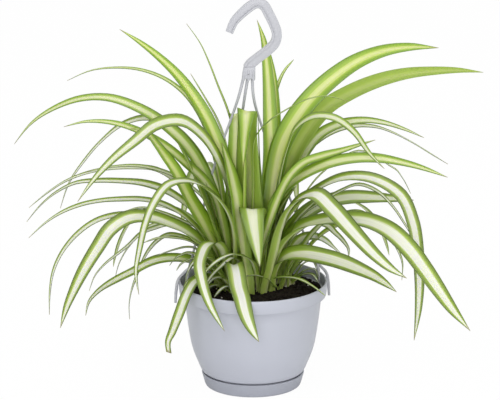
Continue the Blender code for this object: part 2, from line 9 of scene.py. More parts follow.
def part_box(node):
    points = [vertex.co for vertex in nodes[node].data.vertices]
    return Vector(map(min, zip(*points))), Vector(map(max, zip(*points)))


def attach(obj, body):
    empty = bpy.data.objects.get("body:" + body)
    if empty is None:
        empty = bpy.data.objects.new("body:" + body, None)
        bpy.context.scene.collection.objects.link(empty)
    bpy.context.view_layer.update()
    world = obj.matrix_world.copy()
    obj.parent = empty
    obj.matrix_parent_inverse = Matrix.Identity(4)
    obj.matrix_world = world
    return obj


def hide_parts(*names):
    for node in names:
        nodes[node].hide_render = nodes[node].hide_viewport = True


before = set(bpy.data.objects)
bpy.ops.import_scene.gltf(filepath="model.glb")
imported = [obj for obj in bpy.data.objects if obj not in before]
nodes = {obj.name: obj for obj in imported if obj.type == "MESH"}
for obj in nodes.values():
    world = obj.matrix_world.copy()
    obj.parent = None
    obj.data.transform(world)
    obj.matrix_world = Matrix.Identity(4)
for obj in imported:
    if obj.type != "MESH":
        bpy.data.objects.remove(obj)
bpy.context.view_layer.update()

scene = bpy.context.scene
MM = 0.001


# ---------------------------------------------------------------- studio
# A plain pale table top that runs back past the plant, under a large soft box, three weaker
# ones and an even white sky.  None of it belongs to the potted plant.

scene.view_settings.view_transform = "Standard"
VIEW_TILT = math.radians(16)
VIEW_FAR = 4.17
LOOK_AT = Vector((-0.003, 0.0, 0.1927))
camera_data = bpy.data.cameras.new("camera")
camera_data.lens = 300
camera_data.sensor_width = 36
camera_data.clip_end = 50
camera = bpy.data.objects.new("camera", camera_data)
camera.location = LOOK_AT + Vector((0, -math.cos(VIEW_TILT), math.sin(VIEW_TILT))) * VIEW_FAR
camera.rotation_euler = (math.pi / 2 - VIEW_TILT, 0, 0)
scene.collection.objects.link(camera)
scene.camera = camera


def soft_box(name, place, aim, size, watts):
    lamp = bpy.data.lights.new(name, "AREA")
    lamp.shape = "DISK"
    lamp.size = size
    lamp.energy = watts
    held = bpy.data.objects.new(name, lamp)
    held.location = place
    held.rotation_euler = (Vector(aim) - Vector(place)).to_track_quat("-Z", "Y").to_euler()
    scene.collection.objects.link(held)


soft_box("key_light", (-0.9, -1.5, 1.9), (0, 0, 0.18), 1.3, 15)
soft_box("fill_light", (1.6, -1.3, 0.9), (0, 0, 0.2), 1.6, 9)
soft_box("top_light", (0.2, 0.6, 2.0), (0, 0, 0.2), 1.2, 5)
soft_box("front_light", (0.1, -2.4, 0.55), (0, 0, 0.17), 1.5, 17)

SKY_STRENGTH = 0.72
world = bpy.data.worlds.new("studio")
world.use_nodes = True
scene.world = world
sky = world.node_tree
sky.nodes.clear()
rays = sky.nodes.new("ShaderNodeLightPath")
seen = sky.nodes.new("ShaderNodeMath")
seen.operation = "MAXIMUM"
seen_too = sky.nodes.new("ShaderNodeMath")
seen_too.operation = "MAXIMUM"
lit = sky.nodes.new("ShaderNodeBackground")
lit.inputs["Strength"].default_value = SKY_STRENGTH
white = sky.nodes.new("ShaderNodeBackground")
white.inputs["Color"].default_value = (1, 1, 1, 1)
lit.inputs["Color"].default_value = (1, 1, 1, 1)
either = sky.nodes.new("ShaderNodeMixShader")
sky_out = sky.nodes.new("ShaderNodeOutputWorld")
sky.links.new(rays.outputs["Is Camera Ray"], seen.inputs[0])
sky.links.new(rays.outputs["Is Glossy Ray"], seen.inputs[1])
sky.links.new(seen.outputs[0], seen_too.inputs[0])
sky.links.new(rays.outputs["Is Transmission Ray"], seen_too.inputs[1])
sky.links.new(seen_too.outputs[0], either.inputs[0])
sky.links.new(lit.outputs[0], either.inputs[1])
sky.links.new(white.outputs[0], either.inputs[2])
sky.links.new(either.outputs[0], sky_out.inputs["Surface"])

table = bmesh.new()
bmesh.ops.create_grid(table, x_segments=2, y_segments=2, size=9.0)
table_mesh = bpy.data.meshes.new("table_top")
table.to_mesh(table_mesh)
table.free()
table_top = bpy.data.objects.new("table_top", table_mesh)
scene.collection.objects.link(table_top)
table_paint = bpy.data.materials.new("table_paint")
table_paint.use_nodes = True
paint = table_paint.node_tree
matt = paint.nodes["Principled BSDF"]
matt.inputs["Base Color"].default_value = (0.92, 0.92, 0.92, 1)
matt.inputs["Roughness"].default_value = 0.9
matt.inputs["Specular IOR Level"].default_value = 0.0
glow = paint.nodes.new("ShaderNodeEmission")
glow.inputs["Strength"].default_value = 1.0
eye = paint.nodes.new("ShaderNodeLightPath")
share_white = paint.nodes.new("ShaderNodeMath")
share_white.operation = "MULTIPLY"
share_white.inputs[1].default_value = 0.97
both = paint.nodes.new("ShaderNodeMixShader")
paint.links.new(eye.outputs["Is Camera Ray"], share_white.inputs[0])
paint.links.new(share_white.outputs[0], both.inputs[0])
paint.links.new(matt.outputs[0], both.inputs[1])
paint.links.new(glow.outputs[0], both.inputs[2])
paint.links.new(both.outputs[0], paint.nodes["Material Output"].inputs["Surface"])
table_mesh.materials.append(table_paint)


# ---------------------------------------------------------------- pot
# The pot is one thin injection-moulded cup of satin lavender-grey plastic.  It has a plain
# band below a rounded lip, a slight step under the band, and a foot that sits in the saucer.

def settle(shape, name, materials, replaced, smooth=True):
    """Turns a finished bmesh into a piece that stands for the given CAD nodes."""
    mesh = bpy.data.meshes.new(name)
    for face in shape.faces:
        face.smooth = smooth
    shape.to_mesh(mesh)
    shape.free()
    piece = bpy.data.objects.new(name, mesh)
    scene.collection.objects.link(piece)
    for finish in materials:
        mesh.materials.append(finish)
    if replaced:
        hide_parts(*replaced)
    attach(piece, "root")
    return piece


def turn_on_lathe(outline, steps):
    """Spins an outline of (radius, height) millimetres round the pot's upright axis."""
    shape = bmesh.new()
    points = [shape.verts.new((r * MM, 0, z * MM)) for r, z in outline]
    edges = [shape.edges.new(pair) for pair in zip(points, points[1:])]
    bmesh.ops.spin(shape, geom=points + edges, cent=(0, 0, 0), axis=(0, 0, 1),
                   angle=math.tau, steps=steps, use_merge=True)
    bmesh.ops.remove_doubles(shape, verts=shape.verts, dist=0.00001)
    bmesh.ops.recalc_face_normals(shape, faces=shape.faces)
    return shape


def sharpen(shape, degrees):
    for edge in shape.edges:
        if len(edge.link_faces) == 2 and edge.calc_face_angle() > math.radians(degrees):
            edge.smooth = False


def moulded_plastic(name, colour, roughness, coarse):
    """Satin moulded plastic: faint cloudiness, a fine orange-peel skin and light handling marks."""
    finish = bpy.data.materials.new(name)
    finish.use_nodes = True
    tree = finish.node_tree
    surface = tree.nodes["Principled BSDF"]
    where = tree.nodes.new("ShaderNodeTexCoord")
    cloud = tree.nodes.new("ShaderNodeTexNoise")
    cloud.inputs["Scale"].default_value = 14.0
    cloud.inputs["Detail"].default_value = 3.0
    tint = tree.nodes.new("ShaderNodeMix")
    tint.data_type = "RGBA"
    tint.inputs["A"].default_value = (*(c * 0.94 for c in colour), 1)
    tint.inputs["B"].default_value = (*(min(1.0, c * 1.05) for c in colour), 1)
    tree.links.new(where.outputs["Object"], cloud.inputs["Vector"])
    tree.links.new(cloud.outputs["Fac"], tint.inputs["Factor"])
    tree.links.new(tint.outputs["Result"], surface.inputs["Base Color"])
    scuffs = tree.nodes.new("ShaderNodeTexNoise")
    scuffs.inputs["Scale"].default_value = 90.0
    scuffs.inputs["Detail"].default_value = 5.0
    sheen = tree.nodes.new("ShaderNodeMapRange")
    sheen.inputs["To Min"].default_value = roughness - 0.05
    sheen.inputs["To Max"].default_value = roughness + 0.09
    tree.links.new(where.outputs["Object"], scuffs.inputs["Vector"])
    tree.links.new(scuffs.outputs["Fac"], sheen.inputs["Value"])
    tree.links.new(sheen.outputs["Result"], surface.inputs["Roughness"])
    peel = tree.nodes.new("ShaderNodeTexNoise")
    peel.inputs["Scale"].default_value = 900.0
    skin = tree.nodes.new("ShaderNodeBump")
    skin.inputs["Strength"].default_value = coarse
    skin.inputs["Distance"].default_value = 0.0001
    tree.links.new(where.outputs["Object"], peel.inputs["Vector"])
    tree.links.new(peel.outputs["Fac"], skin.inputs["Height"])
    tree.links.new(skin.outputs["Normal"], surface.inputs["Normal"])
    return finish


LATHE_STEPS = 144
pot_finish = moulded_plastic("pot_plastic_finish", (0.425, 0.44, 0.50), 0.36, 0.10)
POT_OUTLINE = [
    (0, 2.3), (44.0, 2.3), (44.9, 2.6), (45.5, 3.4), (47.0, 14.4), (47.3, 14.9), (50.9, 15.5),
    (51.6, 16.1), (52.2, 17.2), (53.4, 19.5), (54.8, 22.9), (56.3, 26.5), (58.2, 31.1), (60.0, 36.0),
    (61.6, 41.3), (62.9, 47.0), (64.1, 53.9), (65.2, 61.0), (66.1, 68.0), (67.0, 75.0),
    (67.9, 83.0), (68.9, 93.6), (69.4, 94.2), (72.9, 94.7), (73.6, 95.1), (73.9, 95.8),
    (74.5, 101.0), (75.0, 107.2), (74.9, 108.0), (74.4, 108.7), (73.7, 109.0), (73.0, 108.7),
    (72.6, 107.8), (72.3, 103.0), (71.8, 98.0), (67.0, 94.8), (65.0, 75.6), (63.2, 61.6),
    (60.9, 47.6), (58.0, 36.6), (54.3, 27.1), (51.4, 20.1), (48.6, 17.6), (45.0, 15.0),
    (43.2, 4.5), (0, 4.5)]
pot_shape = turn_on_lathe(POT_OUTLINE, LATHE_STEPS)
sharpen(pot_shape, 38)
settle(pot_shape, "pot_cup", [pot_finish], ["pot"])


# ---------------------------------------------------------------- saucer
# The saucer is a shallow moulded dish of the same plastic, a shade greyer.  It clips round the
# pot's foot and leaves a thin dark gap below the wall of the pot.

saucer_finish = moulded_plastic("saucer_plastic_finish", (0.325, 0.337, 0.387), 0.40, 0.12)
SAUCER_OUTLINE = [
    (0, 0), (45.6, 0), (47.0, 0.3), (47.9, 0.9), (48.4, 1.8), (48.9, 3.0), (50.3, 8.0),
    (51.7, 13.0), (51.7, 13.6), (51.2, 14.0), (50.3, 14.0), (49.8, 13.3), (47.9, 6.6),
    (47.2, 4.0), (46.2, 2.0), (0, 2.0)]
saucer_shape = turn_on_lathe(SAUCER_OUTLINE, LATHE_STEPS)
sharpen(saucer_shape, 45)
settle(saucer_shape, "saucer_dish", [saucer_finish], ["saucer"])


# ---------------------------------------------------------------- soil
# Dark damp peat compost fills the pot to a finger's width below the lip.  Its top is lumpy,
# with loose crumbs, short fibres and a few grains of white perlite pressed into it.

peat = bpy.data.materials.new("peat_finish")
peat.use_nodes = True
peat_tree = peat.node_tree
peat_surface = peat_tree.nodes["Principled BSDF"]
peat_surface.inputs["Roughness"].default_value = 0.95
peat_surface.inputs["Specular IOR Level"].default_value = 0.2
peat_where = peat_tree.nodes.new("ShaderNodeTexCoord")
peat_grain = peat_tree.nodes.new("ShaderNodeTexNoise")
peat_grain.inputs["Scale"].default_value = 420.0
peat_grain.inputs["Detail"].default_value = 8.0
peat_tones = peat_tree.nodes.new("ShaderNodeValToRGB")
peat_tones.color_ramp.elements[0].position = 0.35
peat_tones.color_ramp.elements[0].color = (0.004, 0.003, 0.002, 1)
peat_tones.color_ramp.elements[1].position = 0.72
peat_tones.color_ramp.elements[1].color = (0.026, 0.017, 0.011, 1)
peat_bump = peat_tree.nodes.new("ShaderNodeBump")
peat_bump.inputs["Strength"].default_value = 0.9
peat_bump.inputs["Distance"].default_value = 0.0012
peat_tree.links.new(peat_where.outputs["Object"], peat_grain.inputs["Vector"])
peat_tree.links.new(peat_grain.outputs["Fac"], peat_tones.inputs["Fac"])
peat_tree.links.new(peat_tones.outputs["Color"], peat_surface.inputs["Base Color"])
peat_tree.links.new(peat_grain.outputs["Fac"], peat_bump.inputs["Height"])
peat_tree.links.new(peat_bump.outputs["Normal"], peat_surface.inputs["Normal"])
perlite = bpy.data.materials.new("perlite_finish")
perlite.use_nodes = True
perlite_surface = perlite.node_tree.nodes["Principled BSDF"]
perlite_surface.inputs["Base Color"].default_value = (0.62, 0.60, 0.55, 1)
perlite_surface.inputs["Roughness"].default_value = 0.9

SOIL_LEVEL = 98.5
soil_outline = [(0, 6.0), (42.8, 6.0), (44.4, 15.6), (50.8, 20.9), (57.4, 37.2), (60.3, 48.0),
                (62.6, 62.0), (64.4, 76.0), (66.4, 94.8), (70.9, 97.4)]
soil_outline += [(r, SOIL_LEVEL - 1.6 + 1.6 * math.cos((r / 71) ** 2)) for r in range(69, 0, -3)]
soil_shape = turn_on_lathe(soil_outline + [(0, SOIL_LEVEL)], 120)
for vert in soil_shape.verts:
    if vert.co.z > 0.094 and vert.co.xy.length < 0.071:
        lumps = noise.noise(vert.co * 70) * 1.6 + noise.noise(vert.co * 210) * 1.1
        vert.co.z += lumps * MM
settle(soil_shape, "soil_bed", [peat], ["soil"])

CRUMBS = 620
CRUMBS_PER_PERLITE_GRAIN = 26
chance = random.Random("crumbs")
crumbs = bmesh.new()
for number in range(CRUMBS):
    reach, turn = 69.5 * math.sqrt(chance.random()), chance.random() * math.tau
    white_grain = number % CRUMBS_PER_PERLITE_GRAIN == 0
    size = chance.uniform(0.7, 1.3) if white_grain else chance.uniform(0.6, 2.0)
    lump = bmesh.ops.create_icosphere(crumbs, subdivisions=1, radius=size * MM)["verts"]
    for vert in lump:
        vert.co *= 1 + 0.35 * noise.noise(vert.co * 900 + Vector((number, 0, 0)))
    if not white_grain:
        bmesh.ops.scale(crumbs, verts=lump, vec=(chance.uniform(0.8, 1.9), 1, 0.7))
    bmesh.ops.rotate(crumbs, verts=lump, cent=(0, 0, 0),
                     matrix=Vector((0, 0, 1)).rotation_difference(
                         Vector((chance.uniform(-1, 1), chance.uniform(-1, 1), 1))).to_matrix())
    place = Vector((reach * math.cos(turn), reach * math.sin(turn), SOIL_LEVEL + 0.4)) * MM
    bmesh.ops.translate(crumbs, verts=lump, vec=place)
    for face in {f for vert in lump for f in vert.link_faces}:
        face.material_index = 1 if white_grain else 0
settle(crumbs, "soil_crumbs", [peat, perlite], [], smooth=False)


# ---------------------------------------------------------------- hanger
# The hanger is one pale grey moulding: a flat strap hook with a raised edge, a short ribbed
# hub, and three round strands whose forked ends clip over the lip of the pot.

hanger_finish = moulded_plastic("hanger_plastic_finish", (0.415, 0.42, 0.45), 0.32, 0.06)


def rod(name, route, thick):
    """A smooth bar along a route of (x, y, z) millimetres, with the thickness at each point."""
    line = bpy.data.curves.new(name, "CURVE")
    line.dimensions = "3D"
    line.twist_mode = "Z_UP"
    line.resolution_u = 10
    line.use_fill_caps = True
    line.bevel_depth = 0.5 * MM
    line.bevel_resolution = 5
    spline = line.splines.new("BEZIER")
    spline.bezier_points.add(len(route) - 1)
    for point, place, size in zip(spline.bezier_points, route, thick):
        point.co = Vector(place) * MM
        point.radius = size
        point.handle_left_type = point.handle_right_type = "AUTO"
    held = bpy.data.objects.new(name, line)
    scene.collection.objects.link(held)
    bpy.context.view_layer.update()
    shown = held.evaluated_get(bpy.context.evaluated_depsgraph_get())
    mesh = bpy.data.meshes.new_from_object(shown)
    bpy.data.objects.remove(held)
    shape = bmesh.new()
    shape.from_mesh(mesh)
    bpy.data.meshes.remove(mesh)
    bmesh.ops.remove_doubles(shape, verts=shape.verts, dist=0.00001)
    bmesh.ops.recalc_face_normals(shape, faces=shape.faces)
    return shape


def merge_in(target, part):
    """Adds one bmesh's faces to another, as one moulding."""
    mesh = bpy.data.meshes.new("joined")
    part.to_mesh(mesh)
    part.free()
    target.from_mesh(mesh)
    bpy.data.meshes.remove(mesh)


STRAP = ((-23.5, 365.5), (-19, 376), (-12, 384), (-3.5, 391.5), (4, 395.3), (11, 392.5),
         (16, 383.5), (21, 373), (23.6, 364), (22, 355), (15.5, 347.5), (6, 340), (-1.8, 333.5),
         (-4.8, 329))
STRAP_STEPS = 72
STRAP_SECTION = ((-0.44, -2.3), (0.44, -2.3), (0.5, -2.0), (0.5, 2.0), (0.44, 2.3), (-0.44, 2.3),
                 (-0.5, 2.0), (-0.5, -2.0))
RAISED_EDGE = ((0.30, -3.3), (0.44, -3.3), (0.52, -2.7), (0.52, 2.7), (0.44, 3.3), (0.30, 3.3))


def between(values, share):
    """A smooth value through evenly spaced vectors, at a share of the way along them."""
    spot = min(max(share, 0.0), 0.99999) * (len(values) - 1)
    k, t = int(spot), spot - int(spot)
    a, b, c, d = (values[min(max(k + j, 0), len(values) - 1)] for j in (-1, 0, 1, 2))
    return (b * 2 + (c - a) * t + (a * 2 - b * 5 + c * 4 - d) * t * t
            + (b * 3 - a - c * 3 + d) * t * t * t) / 2


def strap_run(section):
    """Extrudes a section along the strap's route; the strap is narrower at its free end."""
    route = [Vector((x, 0, z)) for x, z in STRAP]
    run = bmesh.new()
    verts = [run.verts.new((side * MM, deep * MM, 0)) for side, deep in section]
    edges = [run.edges.new(pair) for pair in zip(verts, verts[1:] + verts[:1])]
    run.faces.new(verts)
    for step in range(STRAP_STEPS + 1):
        share = step / STRAP_STEPS
        if step:
            grown = bmesh.ops.extrude_edge_only(run, edges=edges)["geom"]
            edges = [g for g in grown if isinstance(g, bmesh.types.BMEdge)]
            loose = [g for g in grown if isinstance(g, bmesh.types.BMVert)]
            verts = [min(loose, key=lambda v: (v.co - old.co).length) for old in verts]
        here = between(route, share)
        ahead = (between(route, share + 0.01) - between(route, share - 0.01)).normalized()
        across = Vector((ahead.z, 0, -ahead.x))
        wide = 7.4 + 2.2 * min(1.0, share / 0.22) + 0.8 * max(0.0, share - 0.85) / 0.15
        for vert, (side, deep) in zip(verts, section):
            vert.co = (here + across * side * wide + Vector((0, deep, 0))) * MM
    run.faces.new(verts)
    bmesh.ops.remove_doubles(run, verts=run.verts, dist=0.000001)
    bmesh.ops.recalc_face_normals(run, faces=run.faces)
    return run


hook_shape = strap_run(STRAP_SECTION)
merge_in(hook_shape, strap_run(RAISED_EDGE))
hub = bmesh.new()
bmesh.ops.create_cube(hub, size=1.0)
bmesh.ops.scale(hub, verts=hub.verts, vec=Vector((13.5, 7.6, 12.5)) * MM)
bmesh.ops.translate(hub, verts=hub.verts, vec=Vector((-4.5, 0, 324.3)) * MM)
for vert in hub.verts:
    if vert.co.z > 0.325:
        vert.co.x = -0.0035 + (vert.co.x + 0.0045) * 0.86
        vert.co.y *= 0.92
bmesh.ops.bevel(hub, geom=hub.edges, offset=1.1 * MM, segments=3, profile=0.5,
                affect="EDGES", material=-1)
merge_in(hook_shape, hub)
for side in (-5.0, 0.0, 5.0):
    rib = rod("rib", ((-4.5 + side * 0.8, -2.4, 328.5), (-4.5 + side * 0.92, -3.0, 325),
                      (-4.5 + side, -2.6, 317)), (2.6, 3.0, 2.9))
    merge_in(hook_shape, rib)
hook_piece = settle(hook_shape, "hanger_strap", [hanger_finish], ["hanger_hook"])
hook_piece.data.set_sharp_from_angle(angle=math.radians(35))

TOP = 318.5
STRANDS = {
    "strand_left": ((-9.5, 0, TOP), (-14, 2, 300), (-20, 8, 280), (-38, 17, 226), (-52, 14, 172),
                    (-60, 2, 137), (-64, -8, 124), (-67, -14, 102)),
    "strand_right": ((-0.8, 0, TOP), (0.3, 3, 300), (6, 14, 274), (23, 34, 223), (41, 35, 175),
                     (56, 22, 140), (64, 13, 125), (67.2, 12, 102)),
    "strand_back": ((-5.2, 0.6, TOP), (-8, 5, 300), (-12, 20, 266), (-16, 44, 217), (-17.5, 58, 166),
                    (-17, 62, 136), (-16.5, 64, 126), (-17, 66.2, 102))}
for strand_name, route in STRANDS.items():
    strand = rod(strand_name, route, [3.2, 2.9, 2.6, 2.4, 2.4, 2.4, 2.7, 2.3])
    fork = Vector(route[-2])
    out = Vector((fork.x, fork.y, 0)).normalized()
    over = [fork] + [out * r + Vector((0, 0, z)) for r, z in
                     ((69.5, 119.5), (75.5, 112.0), (77.6, 102.0), (78.6, 88.2))]
    merge_in(strand, rod("clip", over, (2.7, 2.8, 3.1, 3.2, 2.6)))
    settle(strand, strand_name + "_bar", [hanger_finish], [strand_name])


# ---------------------------------------------------------------- leaves
# Each leaf is a long thin blade, folded into a soft V, that arches out of the crown and tapers
# to a thread.  Young blades are yellow-green with vivid margins; old ones have a cream stripe
# between pale green bands, dark margins and a greyer underside.

def leaf_stripes():
    """Node group: from across (0 midrib, 1 margin), along and age to colour and fine ribs."""
    group = bpy.data.node_groups.new("leaf_stripes", "ShaderNodeTree")
    for socket in ("Across", "Along", "Age", "Seed"):
        group.interface.new_socket(name=socket, in_out="INPUT", socket_type="NodeSocketFloat")
    group.interface.new_socket(name="Colour", in_out="OUTPUT", socket_type="NodeSocketColor")
    group.interface.new_socket(name="Ribs", in_out="OUTPUT", socket_type="NodeSocketFloat")
    given = group.nodes.new("NodeGroupInput")
    result = group.nodes.new("NodeGroupOutput")

    def sums(operation, first, second):
        made = group.nodes.new("ShaderNodeMath")
        made.operation = operation
        for socket, value in zip(made.inputs, (first, second)):
            if isinstance(value, float):
                socket.default_value = value
            else:
                group.links.new(value, socket)
        return made.outputs[0]

    def ramp(value, stops):
        made = group.nodes.new("ShaderNodeValToRGB")
        bar = made.color_ramp.elements
        while len(bar) < len(stops):
            bar.new(0.5)
        for stop, (position, colour) in zip(bar, stops):
            stop.position = position
            stop.color = (*colour, 1)
        group.links.new(value, made.inputs["Fac"])
        return made.outputs["Color"]

    def blend(share, first, second):
        made = group.nodes.new("ShaderNodeMix")
        made.data_type = "RGBA"
        group.links.new(share, made.inputs["Factor"])
        for key, value in (("A", first), ("B", second)):
            if isinstance(value, tuple):
                made.inputs[key].default_value = (*value, 1)
            else:
                group.links.new(value, made.inputs[key])
        return made.outputs["Result"]

    def streaks(times_across, times_along, detail):
        spot = group.nodes.new("ShaderNodeCombineXYZ")
        group.links.new(sums("MULTIPLY", given.outputs["Across"], times_across), spot.inputs[0])
        group.links.new(sums("MULTIPLY", given.outputs["Along"], times_along), spot.inputs[1])
        group.links.new(sums("MULTIPLY", given.outputs["Seed"], 37.0), spot.inputs[2])
        made = group.nodes.new("ShaderNodeTexNoise")
        made.inputs["Scale"].default_value = 1.0
        made.inputs["Detail"].default_value = detail
        group.links.new(spot.outputs[0], made.inputs["Vector"])
        return made.outputs["Fac"]

    broad = streaks(3.0, 2.2, 2.0)
    fine = streaks(19.0, 3.0, 3.0)
    across = sums("ABSOLUTE", given.outputs["Across"], 0.0)
    drift = sums("MULTIPLY", sums("SUBTRACT", broad, 0.5), 0.34)
    ragged = sums("MULTIPLY", sums("SUBTRACT", fine, 0.5), 0.16)
    place = sums("ADD", across, sums("ADD", drift, ragged))
    old = ramp(place, ((0.0, (0.66, 0.68, 0.57)), (0.37, (0.67, 0.69, 0.59)),
                       (0.45, (0.38, 0.45, 0.15)), (0.56, (0.23, 0.32, 0.04)),
                       (0.74, (0.14, 0.205, 0.018)), (0.92, (0.095, 0.14, 0.010)),
                       (1.0, (0.05, 0.075, 0.010))))
    young = ramp(place, ((0.0, (0.56, 0.60, 0.27)), (0.28, (0.48, 0.55, 0.17)),
                         (0.40, (0.29, 0.41, 0.040)), (0.66, (0.19, 0.31, 0.016)),
                         (0.92, (0.14, 0.245, 0.012)), (1.0, (0.09, 0.16, 0.010))))
    ripe = group.nodes.new("ShaderNodeMapRange")
    ripe.interpolation_type = "SMOOTHSTEP"
    ripe.inputs["From Min"].default_value = 0.10
    ripe.inputs["From Max"].default_value = 0.52
    ripe.inputs["To Min"].default_value = 0.12
    group.links.new(given.outputs["Along"], ripe.inputs["Value"])
    colour = blend(sums("MULTIPLY", given.outputs["Age"], ripe.outputs["Result"]), young, old)
    shade = sums("ADD", sums("MULTIPLY", fine, 0.5), 0.75)
    tinted = group.nodes.new("ShaderNodeMix")
    tinted.data_type = "RGBA"
    tinted.blend_type = "MULTIPLY"
    tinted.inputs["Factor"].default_value = 1.0
    group.links.new(colour, tinted.inputs["A"])
    grey = group.nodes.new("ShaderNodeCombineColor")
    for channel in range(3):
        group.links.new(shade, grey.inputs[channel])
    group.links.new(grey.outputs[0], tinted.inputs["B"])
    near_base = group.nodes.new("ShaderNodeMapRange")
    near_base.inputs["From Min"].default_value = 0.02
    near_base.inputs["From Max"].default_value = 0.22
    near_base.inputs["To Min"].default_value = 0.55
    near_base.inputs["To Max"].default_value = 0.0
    group.links.new(given.outputs["Along"], near_base.inputs["Value"])
    pale = blend(near_base.outputs["Result"], tinted.outputs["Result"], (0.40, 0.47, 0.12))
    near_tip = group.nodes.new("ShaderNodeMapRange")
    near_tip.inputs["From Min"].default_value = 0.965
    near_tip.inputs["From Max"].default_value = 1.0
    group.links.new(given.outputs["Along"], near_tip.inputs["Value"])
    dry = blend(near_tip.outputs["Result"], pale, (0.20, 0.15, 0.06))
    group.links.new(dry, result.inputs["Colour"])
    group.links.new(fine, result.inputs["Ribs"])
    return group


stripes_group = leaf_stripes()


def leaf_skin(name, dulling, roughness, coat):
    """A waxy leaf face; dulling greys it for the underside."""
    finish = bpy.data.materials.new(name)
    finish.use_nodes = True
    tree = finish.node_tree
    surface = tree.nodes["Principled BSDF"]
    surface.inputs["Roughness"].default_value = roughness
    surface.inputs["Coat Weight"].default_value = coat
    surface.inputs["Coat Roughness"].default_value = 0.3
    surface.inputs["Subsurface Weight"].default_value = 0.35
    surface.inputs["Subsurface Radius"].default_value = (0.8, 1.0, 0.3)
    surface.inputs["Subsurface Scale"].default_value = 0.003
    stripes = tree.nodes.new("ShaderNodeGroup")
    stripes.node_tree = stripes_group
    flat = tree.nodes.new("ShaderNodeUVMap")
    flat.uv_map = "UVMap"
    split = tree.nodes.new("ShaderNodeSeparateXYZ")
    centred = tree.nodes.new("ShaderNodeMapRange")
    centred.inputs["To Min"].default_value = -1.0
    tree.links.new(flat.outputs["UV"], split.inputs[0])
    tree.links.new(split.outputs["X"], centred.inputs["Value"])
    tree.links.new(centred.outputs["Result"], stripes.inputs["Across"])
    tree.links.new(split.outputs["Y"], stripes.inputs["Along"])
    for key in ("Age", "Seed"):
        own = tree.nodes.new("ShaderNodeAttribute")
        own.attribute_name = key.lower()
        tree.links.new(own.outputs["Fac"], stripes.inputs[key])
    greyed = tree.nodes.new("ShaderNodeMix")
    greyed.data_type = "RGBA"
    greyed.inputs["Factor"].default_value = dulling
    greyed.inputs["B"].default_value = (0.27, 0.36, 0.06, 1)
    tree.links.new(stripes.outputs["Colour"], greyed.inputs["A"])
    tree.links.new(greyed.outputs["Result"], surface.inputs["Base Color"])
    veins = tree.nodes.new("ShaderNodeBump")
    veins.inputs["Strength"].default_value = 0.45
    veins.inputs["Distance"].default_value = 0.0004
    tree.links.new(stripes.outputs["Ribs"], veins.inputs["Height"])
    tree.links.new(veins.outputs["Normal"], surface.inputs["Normal"])
    return finish


leaf_face = leaf_skin("leaf_face_finish", 0.0, 0.42, 0.15)
leaf_back = leaf_skin("leaf_back_finish", 0.34, 0.58, 0.0)
leaf_shaded = leaf_skin("leaf_shaded_finish", 0.72, 0.55, 0.0)
ROWS_ALONG = 60
ROWS_ACROSS = 10
GAPS = 12               # between the cross-sections that give a blade its shape
SOIL_MIDDLE = Vector((0, 0, 0.1))
ROOT_LENGTH = 0.004
ROOT_HEIGHT = 0.0965
BLADE_THICKNESS = 0.45 * MM


def cad_stations(node):
    """Reads a CAD blade back as its midrib, half width and fold at each cross-section.

    The tip is the farthest vertex from which every step back meets a ring of four."""
    shape = bmesh.new()
    shape.from_mesh(node.data)
    bmesh.ops.remove_doubles(shape, verts=shape.verts, dist=0.00002)
    for tip in sorted(shape.verts, key=lambda v: -(v.co - SOIL_MIDDLE).length):
        levels, met = [[tip]], {tip}
        while True:
            ring = {e.other_vert(v) for v in levels[-1] for e in v.link_edges} - met
            if not ring:
                break
            levels.append(sorted(ring, key=lambda v: v.index))
            met |= ring
        if len(levels) == GAPS + 1 and all(len(ring) == 4 for ring in levels[1:]):
            break
    ribs, halves, folds = [tip.co.copy()], [Vector()], [Vector()]
    for ring in levels[1:]:
        pairs = [(a.co - b.co, a, b) for i, a in enumerate(ring) for b in ring[i + 1:]]
        wide, a, b = max(pairs, key=lambda pair: pair[0].length)
        inner = [v.co for v in ring if v not in (a, b)]
        rib = (inner[0] + inner[1]) / 2
        if halves[-1].dot(wide) < 0:
            wide = -wide
        ribs.append(rib)
        halves.append(wide / 2)
        folds.append((a.co + b.co) / 2 - rib)
    shape.free()
    return ribs[::-1], halves[::-1], folds[::-1]


def drawn_stations(points, width, turn, late):
    """The same for a blade given by its midrib in millimetres, with its face turned forward."""
    path = [Vector(p) * MM for p in points]
    ribs = [between(path, k / GAPS) for k in range(GAPS + 1)]
    reach = max(ribs, key=lambda p: (p - ribs[0]).xy.length) - ribs[0]
    side = Vector((-reach.y, reach.x, 0)).normalized()
    halves, folds = [], []
    for k in range(GAPS + 1):
        ahead = (ribs[min(k + 1, GAPS)] - ribs[max(k - 1, 0)]).normalized()
        left = (side - ahead * side.dot(ahead)).normalized()
        upper = ahead.cross(left)
        roll = math.copysign(math.radians(turn), side.y)
        left, upper = (left * math.cos(roll) + upper * math.sin(roll),
                       upper * math.cos(roll) - left * math.sin(roll))
        share = k / GAPS
        half = width * MM / 2 * (1 - share ** late) ** 0.85 * (0.6 + 0.4 * min(1.0, share / 0.3))
        bend = math.radians(50 - 35 * min(1.0, share / 0.45))
        halves.append(left * half * math.cos(bend))
        folds.append(upper * half * math.sin(bend))
    return ribs, halves, folds


